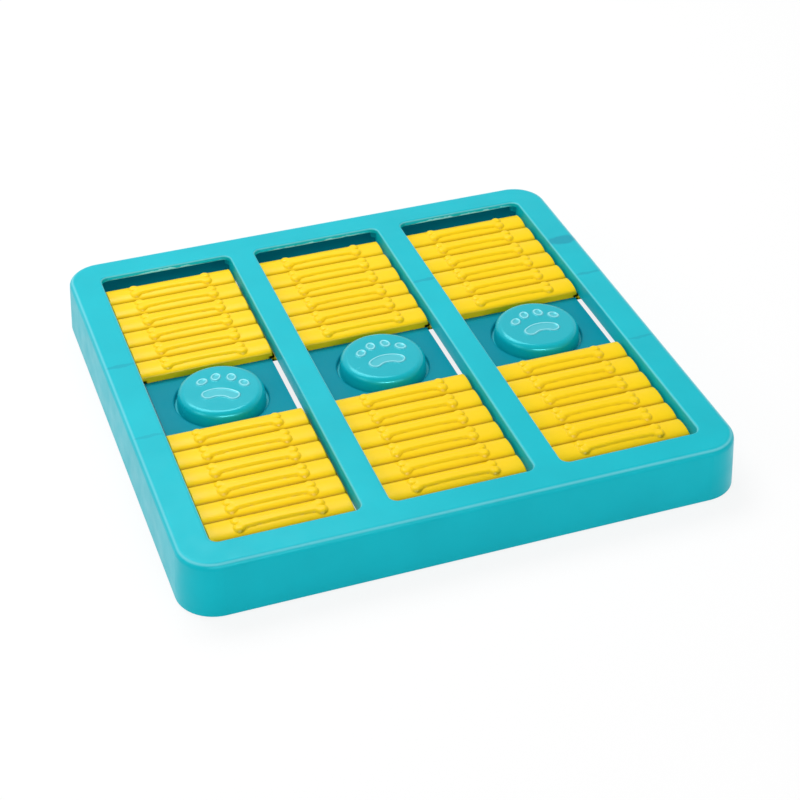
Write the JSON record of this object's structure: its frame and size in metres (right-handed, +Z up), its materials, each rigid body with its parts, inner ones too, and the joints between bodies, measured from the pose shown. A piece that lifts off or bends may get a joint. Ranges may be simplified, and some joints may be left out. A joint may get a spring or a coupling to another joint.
{
  "type": "dog puzzle feeder",
  "caption": "Flat square dog puzzle feeder: slatted shutters with bone relief slide under the rim off treat wells, beside sprung round paw buttons.",
  "frame": {"origin": "middle of the footprint on the floor", "axes": "+X to the right across the three lanes, +Y along the lanes to the far side, +Z up"},
  "size_m": [0.3036, 0.2916, 0.0318],
  "materials": {
    "teal_plastic": "satin",
    "yellow_plastic": "satin",
    "button_plastic": "glossy",
    "spring_steel": "satin",
    "screw_steel": "satin",
    "foot_rubber": "matte"
  },
  "bodies": {
    "base": {"frame": "teal_plastic", "rubber_feet": "foot_rubber", "lane_tray_left": "teal_plastic", "button_base_left": "teal_plastic", "button_spring_left": "spring_steel", "tray_screws_left": "screw_steel", "base_screws_left": "screw_steel", "lane_tray_middle": "teal_plastic", "button_base_middle": "teal_plastic", "button_spring_middle": "spring_steel", "tray_screws_middle": "screw_steel", "base_screws_middle": "screw_steel", "lane_tray_right": "teal_plastic", "button_base_right": "teal_plastic", "button_spring_right": "spring_steel", "tray_screws_right": "screw_steel", "base_screws_right": "screw_steel"},
    "rear_shutter_left": {"rear_shutter_left": "yellow_plastic"},
    "front_shutter_left": {"front_shutter_left": "yellow_plastic"},
    "paw_button_left": {"paw_button_left": "button_plastic"},
    "rear_shutter_middle": {"rear_shutter_middle": "yellow_plastic"},
    "front_shutter_middle": {"front_shutter_middle": "yellow_plastic"},
    "paw_button_middle": {"paw_button_middle": "button_plastic"},
    "rear_shutter_right": {"rear_shutter_right": "yellow_plastic"},
    "front_shutter_right": {"front_shutter_right": "yellow_plastic"},
    "paw_button_right": {"paw_button_right": "button_plastic"}
  },
  "joints": [
    {"name": "rear_shutter_left_slide", "type": "slide", "parent": "base", "child": "rear_shutter_left", "axis": [0, 1, 0], "range_m": [0, 0.019]},
    {"name": "front_shutter_left_slide", "type": "slide", "parent": "base", "child": "front_shutter_left", "axis": [0, -1, 0], "range_m": [0, 0.019]},
    {"name": "paw_button_left_press", "type": "slide", "parent": "base", "child": "paw_button_left", "axis": [0, 0, -1], "range_m": [0, 0.005], "stiffness_N_per_m": 300, "springref_m": -0.004, "deforming": ["button_spring_left"]},
    {"name": "rear_shutter_middle_slide", "type": "slide", "parent": "base", "child": "rear_shutter_middle", "axis": [0, 1, 0], "range_m": [0, 0.019]},
    {"name": "front_shutter_middle_slide", "type": "slide", "parent": "base", "child": "front_shutter_middle", "axis": [0, -1, 0], "range_m": [0, 0.019]},
    {"name": "paw_button_middle_press", "type": "slide", "parent": "base", "child": "paw_button_middle", "axis": [0, 0, -1], "range_m": [0, 0.005], "stiffness_N_per_m": 300, "springref_m": -0.004, "deforming": ["button_spring_middle"]},
    {"name": "rear_shutter_right_slide", "type": "slide", "parent": "base", "child": "rear_shutter_right", "axis": [0, 1, 0], "range_m": [0, 0.019]},
    {"name": "front_shutter_right_slide", "type": "slide", "parent": "base", "child": "front_shutter_right", "axis": [0, -1, 0], "range_m": [0, 0.019]},
    {"name": "paw_button_right_press", "type": "slide", "parent": "base", "child": "paw_button_right", "axis": [0, 0, -1], "range_m": [0, 0.005], "stiffness_N_per_m": 300, "springref_m": -0.004, "deforming": ["button_spring_right"]}
  ]
}
